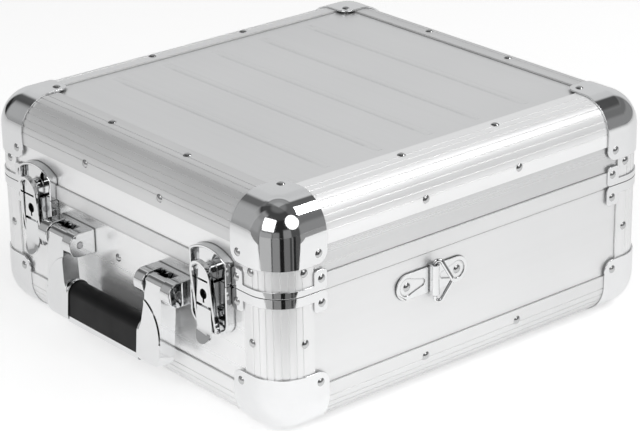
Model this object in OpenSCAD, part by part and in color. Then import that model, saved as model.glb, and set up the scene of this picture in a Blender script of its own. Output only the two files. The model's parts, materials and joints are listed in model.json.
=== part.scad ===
// CD flight case with ribbed edge profiles, chromed corners, two keyed draw latches and a drop handle.
// X runs along the front, the front faces -Y and Z is up. The origin is under the middle of the whole object.

/* [Case] */
// Width over the edge profiles
case_w = 350; // [330:1:400]
// Depth over the edge profiles
case_d = 370; // [350:1:430]
// Height over the edge profiles
case_h = 175; // [168:1:210]
// Height of the lid above the split
lid_h = 67; // [65:1:76]
// Gap between the closed lid and the base
split_gap = 0.4; // [0.3:0.1:0.8]

/* [Edge profiles] */
// How far each leg of an edge profile reaches from the corner
ext_leg = 34.5; // [33.5:0.5:36]
// Outer radius of the rounded edges
ext_r = 27; // [25:0.5:28]
// Thickness of the profile's outer skin
ext_wall = 1.5; // [1.2:0.1:1.8]
// Thickness of the profile's inner flange and web
flange_t = 1.4; // [1.1:0.1:1.8]
// Number of fine grooves round the rounded edge
groove_count = 8; // [4:1:9]
// Radius of one fine groove
groove_r = 0.45; // [0.3:0.05:0.6]
// Gap between profiles that meet at a corner
joint_gap = 0.2; // [0.1:0.1:0.5]

/* [Panels] */
// Thickness of the wall, floor and top panels
panel_t = 4; // [3.5:0.25:4.5]
// Clearance of a panel in its channel
slot_fit = 0.1; // [0.05:0.05:0.3]
// Number of pressed ribs along the lid
rib_count = 5; // [3:1:6]
// Width of one pressed rib
rib_w = 5; // [4:0.5:7]
// Height of one pressed rib
rib_h = 0.8; // [0.5:0.1:1]
// Distance between pressed ribs
rib_pitch = 48.5; // [46:0.5:52]

/* [Rims] */
// Height of the lid's rim band
rim_h = 11.3; // [10:0.1:13]
// Thickness of the rims' webs
rim_t = 1.5; // [1.2:0.1:1.8]
// Height of the tongue on the base
tongue_h = 2.4; // [1.8:0.1:2.8]
// Thickness of the tongue
tongue_t = 1.6; // [1.2:0.1:1.8]
// Clearance round the tongue
tongue_fit = 0.6; // [0.5:0.1:0.7]

/* [Corners and brackets] */
// Thickness of a ball corner
ball_t = 1.3; // [1:0.1:1.8]
// How far a ball corner reaches from the case's corner
ball_leg = 46.5; // [44:0.5:47]
// Radius of the ball corner's ears
ear_r = 9; // [6:0.5:11]
// Distance of the ball corner's rivets from the case's faces
ball_rivet_in = 38.5; // [38:0.1:40]
// Thickness of a rim bracket
bracket_t = 1.1; // [0.9:0.1:1.3]
// Height of the lid bracket's band round the corner
lid_band_h = 5; // [4:0.5:7]
// Height of the base bracket's band round the corner
base_band_h = 7; // [5:0.5:9]
// Height of a bracket's ears
bracket_ear_h = 15.6; // [14:0.2:16]
// Distance of a bracket's rivets from the corner
bracket_rivet_in = 40.8; // [40.2:0.1:41.4]
// Width of a bracket's ears
bracket_ear_w = 12; // [11.5:0.5:13]
// Distance of the ears' far edges from the case's corner
bracket_reach = 46; // [46:0.25:47]

/* [Rivets] */
// Radius of a rivet's head
rivet_r = 3.2; // [2.6:0.1:3.4]
// Height of a rivet's head
rivet_h = 1.5; // [1:0.1:1.8]
// Distance of the edge rivets from the case's edge
edge_rivet_in = 26.3; // [24:0.1:30]
// Half the distance between the two rivets of an edge
edge_rivet_half = 46; // [40:1:60]

/* [Handle] */
// Gap between a handle mount and the latch beside it
mount_gap = 4.5; // [2:0.5:8]
// Width of a handle mount
mount_w = 42; // [40:0.5:43]
// Height of a handle mount
mount_h = 19; // [18:0.5:20]
// Distance of the handle's pivot in front of the case
pivot_out = 12.5; // [12:0.25:14]
// Distance of the handle's pivot below the split
pivot_drop = 19.3; // [18:0.1:22]
// Radius of the handle's pivot pins
pivot_pin_r = 2.5; // [2:0.1:3]
// Radius of the round top of the arms
hub_r = 8.2; // [7.8:0.1:8.4]
// Width of an arm
arm_w = 20; // [19:0.5:21]
// How far the handle hangs below its pivot
handle_drop = 61.5; // [58:0.5:66]
// Distance from a mount's middle to the grip's end
grip_in = 17.6; // [16:0.2:20]
// How far the hanging handle leans out of the case
handle_lean = 4.14; // [0:0.02:5]
// Depth of the grip, front to back
grip_w = 17.6; // [16:0.2:18]
// Height of the grip
grip_h = 26; // [24:0.5:28]
// Height of the chromed bar under the grip
bar_h = 5.5; // [5:0.25:7]

/* [Latches] */
// Gap between a latch and the rim bracket beside it
latch_gap = 0.5; // [0.4:0.1:2]
// Width of a latch's tray and keeper
tray_w = 42; // [40:0.5:42]
// Height of a latch's tray below the split
tray_h = 38; // [36:0.5:40]
// Height of the tray's and the keeper's walls in front of the case
tray_out = 5.5; // [5:0.25:6]
// How far the lock housing stands in front of the case
lock_out = 10; // [9.75:0.25:10.5]
// Half the width of the lock housing
lock_half = 8; // [7.5:0.25:8]
// Outer half width of a bail
bail_half = 11; // [10.8:0.1:11.5]
// Width of a bail's legs
bail_leg = 2.2; // [2:0.1:2.2]
// Depth of a bail, front to back
bail_deep = 4; // [3.5:0.25:4.25]
// Length of a bail from its pin to its outer top
bail_len = 53.4; // [53:0.2:55]
// How far the bail leans out at rest
bail_lean = 6.5; // [6:0.25:8]

/* [Strap plates] */
// Distance between a strap plate's rivets
strap_rivets = 48.6; // [46:0.2:52]
// Radius of a strap plate's ends
strap_end_r = 10; // [9:0.5:11]
// Thickness of a strap plate
strap_t = 1.8; // [1.6:0.1:2]
// Radius of a strap plate's rolled barrel
barrel_r = 3.5; // [3.2:0.1:3.8]
// Height of a strap plate's rolled barrel
barrel_h = 23.4; // [20:0.2:23.6]
// Radius of a strap ring's wire
ring_wire_r = 1.6; // [1.4:0.1:1.8]
// Height of a strap ring at its straight leg, between the middles of its wire
ring_h = 32; // [31.8:0.2:33]
// Depth of a strap ring from its straight leg to its bent tip
ring_deep = 13.1; // [12.8:0.1:14]
// How far a strap ring is swung from the wall at rest
ring_swing = 33; // [30:1:40]
// How far a strap ring hangs below the middle of its barrel
ring_sag = 1; // [0.6:0.1:1.2]

/* [Hinges] */
// Length of a hinge
hinge_len = 60; // [50:1:70]
// Distance of each hinge's middle from the side of the case
hinge_in = 80; // [74:1:95]
// Radius of a hinge's knuckles
knuckle_r = 3.2; // [2.8:0.1:3.4]
// Radius of a hinge's pin
hinge_pin_r = 1.5; // [1.2:0.1:1.8]
// Thickness of a hinge's leaves
leaf_t = 1.5; // [1.2:0.1:1.5]

/* [Inside] */
// Thickness of the floor and lid foam
foam_t = 8; // [6:0.5:10]
// Thickness of the foam at the front and back
foam_end_t = 6; // [5:0.5:8]
// Thickness of the foam at the sides
foam_side_t = 15; // [10:0.5:16]
// Thickness of the row divider
divider_t = 5; // [3:0.5:6]
// Height of the row divider
divider_h = 62; // [40:1:80]

/* [Hidden] */
$fn = 64;
cut = 1;
pin_fit = 0.06;
soft_gap = 0.3;
mirror_sides = [-1, 1];

// Planes of the case
bottom_z = ball_t;
top_z = bottom_z + case_h;
split_z = top_z - lid_h;
base_top = split_z - split_gap / 2;
lid_low = split_z + split_gap / 2;
arm_low_round = 6;
lean_reach = pivot_out + (hub_r - arm_low_round) * cos(handle_lean)
    + (handle_drop - arm_low_round) * sin(handle_lean) + arm_low_round;
front_reach = max(pivot_out + mount_h / 2, lean_reach);
knuckle_out = knuckle_r + soft_gap;
back_reach = knuckle_out + knuckle_r;
mid_y = (front_reach - back_reach) / 2;

// Places along the front, from the corners inwards
latch_x = case_w / 2 - bracket_reach - latch_gap - tray_w / 2;
hinge_x = case_w / 2 - hinge_in;
mount_x = latch_x - tray_w / 2 - mount_gap - mount_w / 2;
grip_half = mount_x - grip_in;

// Depths in a wall, counted inwards from the profiles' outer faces
panel_in = ext_wall + panel_t;
flange_in = panel_in + slot_fit;
wall_in = flange_in + flange_t;
tongue_in = ext_wall + rim_t - flange_t / 2;
groove_h = tongue_h + tongue_fit;
foam_in = wall_in + soft_gap;

// Placing on the case: side 0 is the front, 1 the right, 2 the back and 3 the left
function side_half(side) = (side % 2 == 0 ? case_d : case_w) / 2;
function side_run(side) = (side % 2 == 0 ? case_w : case_d) / 2;

// Children see the wall from outside: X to the right along it, Y inwards from its profiles, Z up
module on_side(side) {
    translate([0, mid_y, 0])
        rotate([0, 0, 90 * side])
            translate([0, -side_half(side), 0])
                children();
}

// Children stand in a corner of the case, with X and Y inwards from its two faces
module on_corner(sx, sy) {
    translate([sx * case_w / 2, mid_y + sy * case_d / 2, 0])
        mirror([sx > 0 ? 1 : 0, 0, 0])
            mirror([0, sy > 0 ? 1 : 0, 0])
                children();
}

module on_each_corner() {
    for (sx = mirror_sides)
        for (sy = mirror_sides)
            on_corner(sx, sy) children();
}

// Turns a profile drawn as inwards and upwards into a bar along X
module bar_x(length) {
    rotate([90, 0, 90]) linear_extrude(length) children();
}

// Rounded corner sections
module corner_area(leg, r) {
    translate([r, 0]) square([leg - r, leg]);
    translate([0, r]) square([leg, leg - r]);
    intersection() {
        translate([r, r]) circle(r);
        square(r);
    }
}

module shell_profile(leg, out, inn) {
    difference() {
        translate([-out, -out]) corner_area(leg + out, ext_r + out);
        translate([inn, inn]) corner_area(leg + cut, ext_r - inn);
    }
}

// Section of an edge profile: outer skin, and a web and flange that make a channel for each panel
module profile_channel() {
    translate([ext_wall / 2, ext_r - flange_t]) square([wall_in - ext_wall / 2, flange_t]);
    translate([flange_in, ext_r - flange_t]) square([flange_t, ext_leg - ext_r]);
}

module edge_profile() {
    difference() {
        union() {
            shell_profile(ext_leg, 0, ext_wall);
            profile_channel();
            mirror([1, -1]) profile_channel();
        }
        for (i = [0.5 : groove_count - 0.5])
            translate([ext_r, ext_r])
                rotate(180 + 90 * i / groove_count)
                    translate([ext_r, 0])
                        circle(groove_r, $fn = 24);
    }
}

module edge_bar(side) {
    half = side_run(side) - ext_leg - joint_gap;
    translate([-half, 0, 0]) bar_x(2 * half) edge_profile();
}

module base_edge(side) {
    color("silver")
        on_side(side)
            translate([0, 0, bottom_z])
                edge_bar(side);
}

module lid_edge(side) {
    color("silver")
        on_side(side)
            translate([0, 0, top_z])
                mirror([0, 0, 1])
                    edge_bar(side);
}

module base_corner_posts() {
    low = bottom_z + ext_leg + joint_gap;
    color("silver")
        on_each_corner()
            translate([0, 0, low])
                linear_extrude(base_top - low)
                    edge_profile();
}

module lid_corner_posts() {
    color("silver")
        on_each_corner()
            translate([0, 0, lid_low])
                linear_extrude(top_z - ext_leg - joint_gap - lid_low)
                    edge_profile();
}

// Wall, floor and top panels
module wall_panel(side, low, high) {
    half = side_run(side) - ext_r - slot_fit;
    on_side(side)
        translate([-half, ext_wall, low])
            cube([2 * half, panel_t, high - low]);
}

module base_panel(side) {
    color("gainsboro")
        wall_panel(side, bottom_z + ext_r + slot_fit, base_top - rim_t - slot_fit);
}

module lid_strip(side) {
    color("gainsboro")
        wall_panel(side, lid_low + groove_h + rim_t + slot_fit, top_z - ext_r - slot_fit);
}

module flat_panel(z) {
    half_x = case_w / 2 - ext_r - slot_fit;
    half_y = case_d / 2 - ext_r - slot_fit;
    translate([-half_x, mid_y - half_y, z])
        cube([2 * half_x, 2 * half_y, panel_t]);
}

module base_floor_panel() {
    color("gainsboro") flat_panel(bottom_z + ext_wall);
}

// The lid's top is stiffened by shallow round ribs along X that end short of the profiles
module lid_top_panel() {
    top = top_z - ext_wall;
    rib_round = (rib_w * rib_w / 4 + rib_h * rib_h) / (2 * rib_h);
    rib_half = case_w / 2 - ball_leg;
    color("gainsboro")
        union() {
            flat_panel(top - panel_t);
            for (i = [0 : rib_count - 1])
                translate([0, mid_y + rib_pitch * (i - (rib_count - 1) / 2), top])
                    intersection() {
                        translate([-rib_half, 0, rib_h - rib_round])
                            rotate([0, 90, 0])
                                cylinder(r = rib_round, h = 2 * rib_half);
                        translate([-rib_half, -rib_w, -rib_h])
                            cube([2 * rib_half, 2 * rib_w, 2 * rib_h]);
                    }
        }
}

// Rims: the base's tongue stands in the lid's groove
module base_rim_profile() {
    translate([ext_wall, -rim_t]) square([wall_in - ext_wall, rim_t]);
    translate([flange_in, -rim_h]) square([flange_t, rim_h]);
    translate([tongue_in, -rim_t / 2]) square([tongue_t, rim_t / 2 + split_gap + tongue_h]);
}

module lid_rim_profile() {
    difference() {
        union() {
            square([ext_wall, rim_h]);
            square([wall_in, groove_h + rim_t]);
            translate([flange_in, 0]) square([flange_t, rim_h]);
        }
        translate([tongue_in - tongue_fit, -cut])
            square([tongue_t + 2 * tongue_fit, groove_h + cut]);
    }
}

module rim_bars(z) {
    for (side = [0 : 3])
        on_side(side)
            let (half = side_run(side) - ext_leg - joint_gap)
                translate([-half, 0, z])
                    bar_x(2 * half) children();
}

module base_rim() {
    color("silver") rim_bars(base_top) base_rim_profile();
}

module lid_rim() {
    color("silver") rim_bars(lid_low) lid_rim_profile();
}

// Ball corners and the inserts under them: three bars that meet in an eighth of a ball
module corner_shell(leg, out, inn) {
    translate([ext_r, 0, 0])
        bar_x(leg - ext_r) shell_profile(leg, out, inn);
    translate([0, ext_r, 0])
        mirror([1, -1, 0]) bar_x(leg - ext_r) shell_profile(leg, out, inn);
    translate([0, 0, ext_r])
        linear_extrude(leg - ext_r) shell_profile(leg, out, inn);
    translate([ext_r, ext_r, ext_r])
        rotate([0, 0, 180])
            mirror([0, 0, 1])
                rotate_extrude(angle = 90)
                    intersection() {
                        difference() {
                            circle(ext_r + out);
                            circle(ext_r - inn);
                        }
                        square(ext_r + out);
                    }
}

// Rounds the free corner of a ball corner's ear
module ear_cut() {
    translate([ball_leg - ear_r, ball_leg - ear_r, -ball_t - cut])
        linear_extrude(ball_t + 2 * cut)
            difference() {
                square(ear_r + cut);
                circle(ear_r);
            }
}

// A dimple under a rivet brings the ear down to the panel
module ear_dimple() {
    translate([ball_rivet_in, ball_rivet_in, -ball_t / 2])
        cylinder(r = rivet_r, h = ball_t / 2 + ext_wall);
}

module each_corner_face() {
    children();
    rotate([90, 0, 90]) children();
    mirror([1, -1, 0]) rotate([90, 0, 90]) children();
}

module ball_corner() {
    difference() {
        corner_shell(ball_leg, ball_t, 0);
        each_corner_face() ear_cut();
    }
    each_corner_face() ear_dimple();
}

module base_ball_corners() {
    color("white")
        on_each_corner()
            translate([0, 0, bottom_z])
                ball_corner();
}

module lid_ball_corners() {
    color("white")
        on_each_corner()
            translate([0, 0, top_z])
                mirror([0, 0, 1])
                    ball_corner();
}

// Under each ball corner a cast insert carries the profiles' skin on round the corner
module corner_insert() {
    corner_shell(ext_leg, 0, ext_wall);
}

module base_corner_inserts() {
    color("dimgray")
        on_each_corner()
            translate([0, 0, bottom_z])
                corner_insert();
}

module lid_corner_inserts() {
    color("dimgray")
        on_each_corner()
            translate([0, 0, top_z])
                mirror([0, 0, 1])
                    corner_insert();
}

// A flat plate with rounded corners, drawn from its low left corner
module round_rect(w, h, r) {
    translate([r, 0]) square([w - 2 * r, h]);
    translate([0, r]) square([w, h - 2 * r]);
    for (x = [r, w - r])
        for (y = [r, h - r])
            translate([x, y]) circle(r, $fn = 32);
}

// A rim bracket rises from z = 0: a band round the corner and an ear on each face
module bracket_ear() {
    translate([bracket_reach - bracket_ear_w, 0, 0])
        rotate([90, 0, 0])
            linear_extrude(bracket_t)
                round_rect(bracket_ear_w, bracket_ear_h, bracket_ear_w / 4);
}

module rim_bracket(band_h) {
    linear_extrude(band_h) shell_profile(bracket_rivet_in, bracket_t, 0);
    bracket_ear();
    mirror([1, -1, 0]) bracket_ear();
}

// A boss behind the base bracket's rivet reaches the panel
module bracket_boss() {
    translate([bracket_rivet_in, -bracket_t / 2, bracket_rivet_up])
        rotate([-90, 0, 0])
            cylinder(r = rivet_r, h = bracket_t / 2 + ext_wall);
}
bracket_rivet_up = bracket_ear_h * 0.58;

module base_rim_brackets() {
    color("white")
        on_each_corner()
            translate([0, 0, base_top])
                mirror([0, 0, 1]) {
                    rim_bracket(base_band_h);
                    bracket_boss();
                    mirror([1, -1, 0]) bracket_boss();
                }
}

module lid_rim_brackets() {
    color("white")
        on_each_corner()
            translate([0, 0, lid_low])
                rim_bracket(lid_band_h);
}

// Rivets are shallow domes that sit on a face; lift is how far that face stands in front of the profiles
module dome() {
    round_r = (rivet_r * rivet_r + rivet_h * rivet_h) / (2 * rivet_h);
    difference() {
        translate([0, 0, rivet_h - round_r]) sphere(round_r);
        translate([-round_r, -round_r, -2 * round_r]) cube(2 * round_r);
    }
}

module side_rivet(side, u, z, lift) {
    on_side(side)
        translate([u, -lift, z])
            rotate([90, 0, 0])
                dome();
}

base_post_share = 0.54;
lid_post_share = 0.75;
base_post_low = bottom_z + ball_leg;
base_post_rivet = base_post_low + base_post_share * (base_top - bracket_ear_h - base_post_low);
lid_post_low = lid_low + lid_band_h;
lid_post_rivet = lid_post_low + lid_post_share * (top_z - ball_leg - lid_post_low);
panel_rivet_x = 11;
panel_rivet_drop = 24;
hinge_rivet_share = 0.36;

module side_rivets(side, end_in, z, lift) {
    for (s = mirror_sides)
        side_rivet(side, s * (side_run(side) - end_in), z, lift);
}

module base_rivets() {
    color("white") {
        for (side = [0 : 3]) {
            for (s = mirror_sides)
                side_rivet(side, s * edge_rivet_half, bottom_z + edge_rivet_in, 0);
            side_rivets(side, edge_rivet_in, base_post_rivet, 0);
            side_rivets(side, bracket_rivet_in, base_top - bracket_rivet_up, bracket_t);
            side_rivets(side, ball_rivet_in, bottom_z + ball_rivet_in, ball_t);
        }
        side_rivet(0, -panel_rivet_x, split_z - panel_rivet_drop, -ext_wall);
        for (side = [1, 3])
            for (s = mirror_sides)
                on_side(side)
                    translate([strap_u(side) + s * strap_rivets / 2, ext_wall - strap_t + drop_depth, strap_z])
                        rotate([90, 0, 0])
                            dome();
        for (s = mirror_sides)
            for (i = [-1 : 1])
                side_rivet(2, s * hinge_x + i * hinge_len * hinge_rivet_share,
                    split_z - base_leaf_h + leaf_rivet_up, leaf_t - ext_wall);
    }
}

module lid_rivets() {
    color("white") {
        for (side = [0 : 3]) {
            for (s = mirror_sides)
                side_rivet(side, s * edge_rivet_half, top_z - edge_rivet_in, 0);
            for (s = mirror_sides)
                on_side(side)
                    translate([s * edge_rivet_half, edge_rivet_in, top_z])
                        dome();
            side_rivets(side, edge_rivet_in, lid_post_rivet, 0);
            side_rivets(side, bracket_rivet_in, lid_low + bracket_rivet_up, bracket_t);
            side_rivets(side, ball_rivet_in, top_z - ball_rivet_in, ball_t);
        }
        on_each_corner()
            translate([ball_rivet_in, ball_rivet_in, top_z + ball_t])
                dome();
        for (s = mirror_sides)
            for (i = [-1 : 1])
                side_rivet(2, s * hinge_x + i * hinge_len * hinge_rivet_share,
                    split_z + lid_leaf_h - leaf_rivet_up, leaf_t);
    }
}

// Handle: all parts are drawn in the front's own frame
pivot_z = split_z - pivot_drop;
slot_half = arm_w / 2 + soft_gap;
slot_back = pivot_out - hub_r - soft_gap;
spring_half = 5;
spring_relief_r = 6.4;
spring_wire_r = 0.75;
spring_mean_r = 4.3;
spring_turns = 5;
bar_low = pivot_z - handle_drop;
bar_high = bar_low + bar_h;
core_w = 6;
core_h = 16;
ferrule_t = 2.5;
ferrule_over = 1;
grip_y = grip_w / 2 + ferrule_over - pivot_out - hub_r;
arm_t = 14;
arm_round = 12;
arm_face_in = 0.8;
arm_face_r = 30;
arm_step_h = 22;

// A rod across the front at a given distance out of the case and a given height
module cross_rod(x, out, z, r, length) {
    translate([x - length / 2, -out, z]) rotate([0, 90, 0]) cylinder(r = r, h = length);
}

// The hanging handle leans out round its pivot
module lean_out() {
    translate([0, -pivot_out, pivot_z])
        rotate([-handle_lean, 0, 0])
            translate([0, pivot_out, -pivot_z])
                children();
}

module handle_mount(sx) {
    color("whitesmoke")
        on_side(0)
            translate([sx * mount_x, 0, 0])
                difference() {
                    union() {
                        translate([-mount_w / 2, -pivot_out, pivot_z - mount_h / 2])
                            cube([mount_w, pivot_out + ext_wall, mount_h]);
                        cross_rod(0, pivot_out, pivot_z, mount_h / 2, mount_w);
                    }
                    translate([-slot_half, -front_reach - cut, pivot_z - mount_h])
                        cube([2 * slot_half, front_reach + cut - slot_back, 2 * mount_h]);
                    cross_rod(0, pivot_out, pivot_z, pivot_pin_r, mount_w + 2 * cut);
                }
}

module handle_pins() {
    color("white")
        on_side(0)
            for (sx = mirror_sides)
                cross_rod(sx * mount_x, pivot_out, pivot_z, pivot_pin_r, mount_w);
}

// One arm, its inner side towards -X: a side outline cut by a front outline
module arm_side() {
    back = pivot_out + hub_r - arm_t;
    front = pivot_out + hub_r;
    translate([-pivot_out, pivot_z]) circle(hub_r);
    translate([-front, bar_low + arm_low_round])
        square([arm_t, pivot_z - bar_low - arm_low_round]);
    translate([-front + arm_low_round, bar_low])
        square([arm_t - 2 * arm_low_round, 2 * arm_low_round]);
    for (y = [-front + arm_low_round, -back - arm_low_round])
        translate([y, bar_low + arm_low_round]) circle(arm_low_round);
}

module arm_front() {
    inner = grip_half - mount_x;
    outer = arm_w / 2;
    top = pivot_z + hub_r + cut;
    polygon([
        [-outer, top], [outer, top], [outer, bar_low + arm_round], [outer - arm_round, bar_low],
        [inner, bar_low], [inner, bar_low + grip_h - bar_h], [-outer - arm_w / 8, bar_high + grip_h],
        [-outer, pivot_z - mount_h / 2 - arm_round / 2]
    ]);
    translate([outer - arm_round, bar_low + arm_round]) circle(arm_round);
}

module arm() {
    face_cut_y = -pivot_out - hub_r;
    difference() {
        intersection() {
            translate([grip_half - mount_x - cut, 0, 0])
                rotate([90, 0, 90])
                    linear_extrude(mount_x)
                        arm_side();
            rotate([90, 0, 0])
                linear_extrude(front_reach)
                    arm_front();
        }
        translate([0, face_cut_y + arm_face_in, 0])
            rotate([90, 0, 0])
                linear_extrude(arm_face_in + cut)
                    difference() {
                        translate([-mount_w / 2, bar_low]) square([mount_w, handle_drop + 2 * hub_r]);
                        translate([-mount_w / 2, bar_low + arm_step_h]) circle(arm_face_r);
                        translate([-mount_w / 2, bar_low - cut]) square([mount_w, arm_step_h]);
                    }
        cross_rod(0, pivot_out, pivot_z, pivot_pin_r + pin_fit, mount_w);
        cross_rod(0, pivot_out, pivot_z, spring_relief_r, 2 * spring_half);
        translate([-spring_half, -pivot_out, pivot_z])
            cube([2 * spring_half, 2 * hub_r, 2 * hub_r]);
    }
}

module grip_outline(grow) {
    r = grip_w / 2 + grow;
    round_z = bar_low + grip_h + bar_h - grip_w / 2;
    translate([grip_y, round_z]) circle(r);
    translate([grip_y - r, bar_high]) square([2 * r, round_z - bar_high]);
}

module core_outline() {
    translate([grip_y - core_w / 2, bar_high - cut]) square([core_w, core_h + cut]);
}

module handle_frame() {
    color("whitesmoke")
        on_side(0)
            lean_out() {
                for (sx = mirror_sides) {
                    mirror([sx < 0 ? 1 : 0, 0, 0])
                        translate([mount_x, 0, 0]) arm();
                    translate([sx > 0 ? grip_half : -grip_half - ferrule_t, 0, 0])
                        rotate([90, 0, 90])
                            linear_extrude(ferrule_t)
                                grip_outline(ferrule_over);
                }
                translate([-grip_half - cut, 0, 0])
                    rotate([90, 0, 90])
                        linear_extrude(2 * (grip_half + cut)) {
                            translate([grip_y - grip_w / 2, bar_low + bar_h / 3])
                                square([grip_w, bar_h * 2 / 3]);
                            translate([grip_y - grip_w / 2 + bar_h / 3, bar_low])
                                square([grip_w - 2 * bar_h / 3, bar_h]);
                            for (s = mirror_sides)
                                translate([grip_y + s * (grip_w / 2 - bar_h / 3), bar_low + bar_h / 3])
                                    circle(bar_h / 3, $fn = 32);
                            core_outline();
                        }
            }
}

module handle_grip() {
    color("black")
        on_side(0)
            lean_out()
                translate([-grip_half, 0, 0])
                    rotate([90, 0, 90])
                        linear_extrude(2 * grip_half)
                            difference() {
                                grip_outline(0);
                                core_outline();
                            }
}

// Torsion springs: one unbroken tube each, swept along a helix round the pivot pin
spring_steps = 20;
spring_ring = 6;

function spring_point(i) =
    let (a = 360 * i / spring_steps, n = spring_turns * spring_steps)
    [2 * (spring_half - spring_wire_r - soft_gap) * (i / n - 0.5),
        spring_mean_r * sin(a), spring_mean_r * cos(a)];

module helix_spring() {
    n = spring_turns * spring_steps;
    points = [
        for (i = [0 : n])
            let (c = spring_point(i), a = 360 * i / spring_steps)
            for (k = [0 : spring_ring - 1])
                let (b = 360 * k / spring_ring)
                c + spring_wire_r * [cos(b), sin(b) * sin(a), sin(b) * cos(a)]
    ];
    faces = concat(
        [[for (k = [0 : spring_ring - 1]) k]],
        [for (i = [0 : n - 1])
            for (k = [0 : spring_ring - 1])
                let (a = i * spring_ring + k, b = i * spring_ring + (k + 1) % spring_ring)
                for (t = [[a, a + spring_ring, b], [b, a + spring_ring, b + spring_ring]]) t],
        [[for (k = [spring_ring - 1 : -1 : 0]) n * spring_ring + k]]
    );
    polyhedron(points, faces);
}

module handle_springs() {
    color("dimgray")
        on_side(0)
            for (sx = mirror_sides)
                translate([sx * mount_x, -pivot_out, pivot_z])
                    helix_spring();
}

// Latches: heights count down from the split, depths count out of the case
plate_t = 1.5;
tray_wall = 1.8;
tray_round = 9;
arch_rise = 6.5;
keeper_h = 24.3;
boss_half = 7.6;
boss_low = 0.6;
boss_high = 13.5;
boss_neck_in = 1.2;
boss_lip = 1.3;
lock_low = 18.4;
lock_high = 0.6;
key_drop = 10.2;
key_r = 3.8;
key_slot_w = 1.8;
key_slot_h = 6.8;
key_post_r = 0.9;
lock_face_t = 1.5;
lock_r = 4.9;
lock_back = 2.9;
cam_r = 6.9;
cam_w = 3.6;
cam_t = 1.6;
lever_pin_drop = 24;
lever_pin_out = 6.4;
lever_pin_r = 1.1;
lug_r = 1.9;
lug_in = 3.2;
lug_w = 2.7;
lever_top = 20.6;
lever_low = 37;
lever_t = 1.4;
cheek_t = 1.5;
cheek_back = 4.6;
link_drop = 37;
link_out = 6.3;
link_pin_r = 1.2;
link_pad_r = 2.4;
tab_half = 8.1;
tab_len = 11.6;
tab_lean = 22;
bail_fit = 0.5;

module on_latch(sx) {
    on_side(0) translate([sx * latch_x, 0, split_z]) children();
}

// Extrudes a front view, drawn as sideways and up, from one depth in front of the case to another
module between(near, far) {
    translate([0, -near, 0]) rotate([90, 0, 0]) linear_extrude(far - near) children();
}

// Extrudes a side view, drawn as inwards and up, across the latch
module side_view(x, w) {
    translate([x, 0, 0]) rotate([90, 0, 90]) linear_extrude(w) children();
}

module tray_area(inset) {
    half = tray_w / 2 - inset;
    r = tray_round - inset;
    low = -tray_h + inset;
    translate([-half, low + r]) square([2 * half, -low - r - split_gap / 2]);
    translate([-half + r, low]) square([2 * (half - r), 2 * r]);
    for (s = mirror_sides)
        translate([s * (half - r), low + r]) circle(r);
}

module lug_view() {
    translate([-lever_pin_out, -lever_pin_drop]) circle(lug_r);
    polygon([
        [-lever_pin_out, -lever_pin_drop - lug_r], [-lever_pin_out, -lever_pin_drop],
        [-lever_pin_out + lug_r, -lever_pin_drop - lug_r / 5], [-plate_t / 2, -lever_pin_drop - lug_r],
        [-plate_t / 2, -lever_pin_drop - 3 * lug_r]
    ]);
}

module keyhole(depth, back) {
    between(back, back + depth) {
        translate([0, -key_drop]) circle(key_r);
        translate([-key_slot_w / 2, -key_drop - key_slot_h]) square([key_slot_w, key_slot_h]);
    }
}

module latch_body(sx) {
    color("whitesmoke")
        on_latch(sx)
            difference() {
                union() {
                    between(-ext_wall, plate_t) tray_area(0);
                    difference() {
                        between(0, tray_out) tray_area(0);
                        between(plate_t, tray_out + cut)
                            union() {
                                tray_area(tray_wall);
                                translate([-tray_w / 2 + tray_wall, -tray_round])
                                    square([tray_w - 2 * tray_wall, tray_round]);
                                translate([-bail_half - bail_fit, -tray_h - cut])
                                    square([2 * (bail_half + bail_fit), tray_h]);
                            }
                    }
                    between(0, lock_out)
                        translate([-lock_half, -lock_low])
                            square([2 * lock_half, lock_low - lock_high]);
                    for (s = mirror_sides)
                        side_view(s > 0 ? lug_in : -lug_in - lug_w, lug_w) lug_view();
                }
                translate([0, -lock_back, -key_drop])
                    rotate([90, 0, 0])
                        cylinder(r = lock_r + pin_fit, h = lock_out - lock_face_t - lock_back);
                translate([0, -lock_back, -key_drop])
                    rotate([90, 0, 0])
                        cylinder(r = cam_r + soft_gap, h = cam_t + soft_gap);
                keyhole(2 * lock_face_t, lock_out - 1.5 * lock_face_t);
                cross_rod(0, lever_pin_out, -lever_pin_drop, lever_pin_r, 2 * lock_half);
            }
}

module latch_lever_pins() {
    color("white")
        for (sx = mirror_sides)
            on_latch(sx)
                cross_rod(0, lever_pin_out, -lever_pin_drop, lever_pin_r, 2 * lock_half);
}

// The barrel turns in the housing; its cam starts upwards and its key slot lines up with the keyhole
module lock_barrel(sx) {
    color("dimgray")
        on_latch(sx)
            difference() {
                union() {
                    translate([0, -lock_back - soft_gap / 2, -key_drop])
                        rotate([90, 0, 0])
                            cylinder(r = lock_r, h = lock_out - lock_face_t - lock_back - soft_gap);
                    between(lock_back + soft_gap / 2, lock_back + soft_gap / 2 + cam_t)
                        intersection() {
                            translate([0, -key_drop]) circle(cam_r);
                            translate([-cam_w / 2, -key_drop]) square([cam_w, cam_r]);
                        }
                }
                difference() {
                    intersection() {
                        keyhole(lock_r, lock_out - lock_face_t - lock_r / 2);
                        translate([0, 0, -key_drop])
                            rotate([90, 0, 0])
                                cylinder(r = lock_r - key_slot_w / 4, h = 2 * lock_out);
                    }
                    translate([0, 0, -key_drop])
                        rotate([90, 0, 0])
                            cylinder(r = key_post_r, h = 2 * lock_out);
                }
            }
}

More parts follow.
